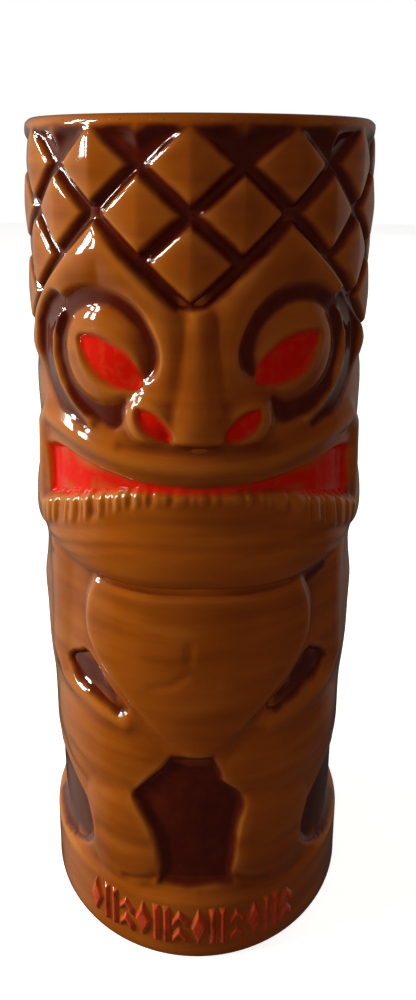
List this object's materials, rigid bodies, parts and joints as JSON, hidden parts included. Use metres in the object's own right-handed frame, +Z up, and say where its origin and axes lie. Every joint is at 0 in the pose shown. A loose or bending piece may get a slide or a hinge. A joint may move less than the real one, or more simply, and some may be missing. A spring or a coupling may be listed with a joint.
{
  "type": "tiki mug",
  "caption": "Tall ceramic tiki mug with a carved face, a diamond lattice crown, a squat body on a plain base band, and dark and red glaze fields.",
  "frame": {"origin": "centre of the foot ring on the surface the mug stands on", "axes": "+Z up the mug's axis to the rim; the carved face looks along -Y; +X to the right as seen from the front"},
  "size_m": [0.0774, 0.0777, 0.172],
  "materials": {
    "clay": "unglazed, matte",
    "honey_glaze": "glossy honey-brown glaze",
    "interior_glaze": "glossy",
    "dark_glaze": "glossy dark brown glaze",
    "red_glaze": "glossy bright red glaze",
    "mark_glaze": "glossy orange-red glaze"
  },
  "bodies": {
    "root": {"clay_body": "clay", "honey_glaze_coat": "honey_glaze", "interior_glaze": "interior_glaze", "crown_groove_glaze": "dark_glaze", "mouth_glaze": "red_glaze", "leg_gap_glaze": "dark_glaze", "base_band_marks": "mark_glaze", "left_eye_glaze": "red_glaze", "left_eye_ring_glaze": "dark_glaze", "left_cheek_gouge_glaze": "dark_glaze", "left_nostril_glaze": "red_glaze", "left_jowl_glaze": "dark_glaze", "left_arm_gap_glaze": "dark_glaze", "left_hip_glaze": "dark_glaze", "right_eye_glaze": "red_glaze", "right_eye_ring_glaze": "dark_glaze", "right_cheek_gouge_glaze": "dark_glaze", "right_nostril_glaze": "red_glaze", "right_jowl_glaze": "dark_glaze", "right_arm_gap_glaze": "dark_glaze", "right_hip_glaze": "dark_glaze"}
  },
  "joints": []
}
